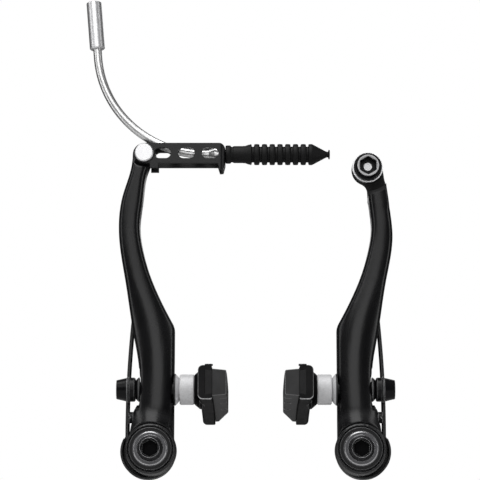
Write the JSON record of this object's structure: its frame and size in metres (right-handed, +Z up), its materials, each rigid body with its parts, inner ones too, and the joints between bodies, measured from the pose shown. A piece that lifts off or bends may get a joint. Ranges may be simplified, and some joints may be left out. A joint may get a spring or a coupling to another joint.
{
  "type": "bicycle V-brake",
  "caption": "Linear-pull bicycle rim brake: sprung arms on frame bosses, brake pads, curved lead pipe in a cable link, rubber boot and cable clamp.",
  "frame": {"origin": "midway between the two frame bosses, in the plane of their seats", "axes": "+X towards the arm with the cable clamp, +Y into the bicycle frame along the boss axes, +Z up along the arms"},
  "size_m": [0.1212, 0.0712, 0.1893],
  "materials": {
    "arm_alloy": "satin black anodised",
    "link_black": "satin black coated sheet",
    "black_steel": "black oxide steel",
    "bush_steel": "turned steel",
    "bright_steel": "bright plated steel",
    "anchor_steel": "plated steel with a bright worn face",
    "washer_alloy": "satin grey",
    "spring_wire": "black spring wire",
    "black_plastic": "matte black",
    "liner_plastic": "slippery white liner",
    "rubber": "matte black rubber",
    "polished_steel": "polished stainless steel",
    "ferrule_alloy": "satin aluminium"
  },
  "bodies": {
    "boss_hardware": {"left_pivot_bush": "bush_steel", "left_pivot_washer": "black_steel", "left_pivot_bolt": "black_steel", "left_spring_holder": "black_plastic", "left_return_spring": "spring_wire", "right_pivot_bush": "bush_steel", "right_pivot_washer": "black_steel", "right_pivot_bolt": "black_steel", "right_spring_holder": "black_plastic", "right_return_spring": "spring_wire"},
    "left_arm": {"left_arm": "arm_alloy", "left_spring_post": "bush_steel", "left_tension_screw": "black_steel", "link_pin": "bright_steel"},
    "right_arm": {"right_arm": "arm_alloy", "right_spring_post": "bush_steel", "right_tension_screw": "black_steel", "anchor_bolt": "anchor_steel", "anchor_washer": "bright_steel"},
    "left_pad": {"left_shoe_holder": "arm_alloy", "left_pad_rubber": "rubber", "left_pad_pin": "black_steel", "left_shoe_stud": "bush_steel", "left_inner_dome_washer": "washer_alloy", "left_inner_cup_spacer": "washer_alloy", "left_outer_dome_washer": "black_steel", "left_outer_cup_washer": "black_steel", "left_nut_washer": "bright_steel", "left_pad_nut": "black_steel"},
    "right_pad": {"right_shoe_holder": "arm_alloy", "right_pad_rubber": "rubber", "right_pad_pin": "black_steel", "right_shoe_stud": "bush_steel", "right_inner_dome_washer": "washer_alloy", "right_inner_cup_spacer": "washer_alloy", "right_outer_dome_washer": "black_steel", "right_outer_cup_washer": "black_steel", "right_nut_washer": "bright_steel", "right_pad_nut": "black_steel"},
    "link": {"cable_link": "link_black", "noodle_tube": "polished_steel", "noodle_liner": "liner_plastic", "noodle_tip": "polished_steel", "noodle_ferrule": "ferrule_alloy", "rubber_boot": "rubber"}
  },
  "joints": [
    {"name": "left_arm_pivot", "type": "hinge", "parent": "boss_hardware", "child": "left_arm", "pos_m": [-0.04, -0.0131, 0], "axis": [0, 1, 0], "range_deg": [-20, 2.2], "stiffness_Nm_per_rad": 1.5, "deforming": ["left_return_spring"]},
    {"name": "right_arm_pivot", "type": "hinge", "parent": "boss_hardware", "child": "right_arm", "pos_m": [0.04, -0.0131, 0], "axis": [0, -1, 0], "range_deg": [-20, 2.2], "stiffness_Nm_per_rad": 1.5, "deforming": ["right_return_spring"]},
    {"name": "link_pivot", "type": "hinge", "parent": "left_arm", "child": "link", "pos_m": [-0.0437, -0.0134, 0.1156], "axis": [0, -1, 0], "range_deg": [0, 90]},
    {"name": "left_pad_slide", "type": "slide", "parent": "left_arm", "child": "left_pad", "axis": [0, 0, 1], "range_m": [-0.003, 0.003]},
    {"name": "right_pad_slide", "type": "slide", "parent": "right_arm", "child": "right_pad", "axis": [0, 0, 1], "range_m": [-0.003, 0.003]}
  ]
}
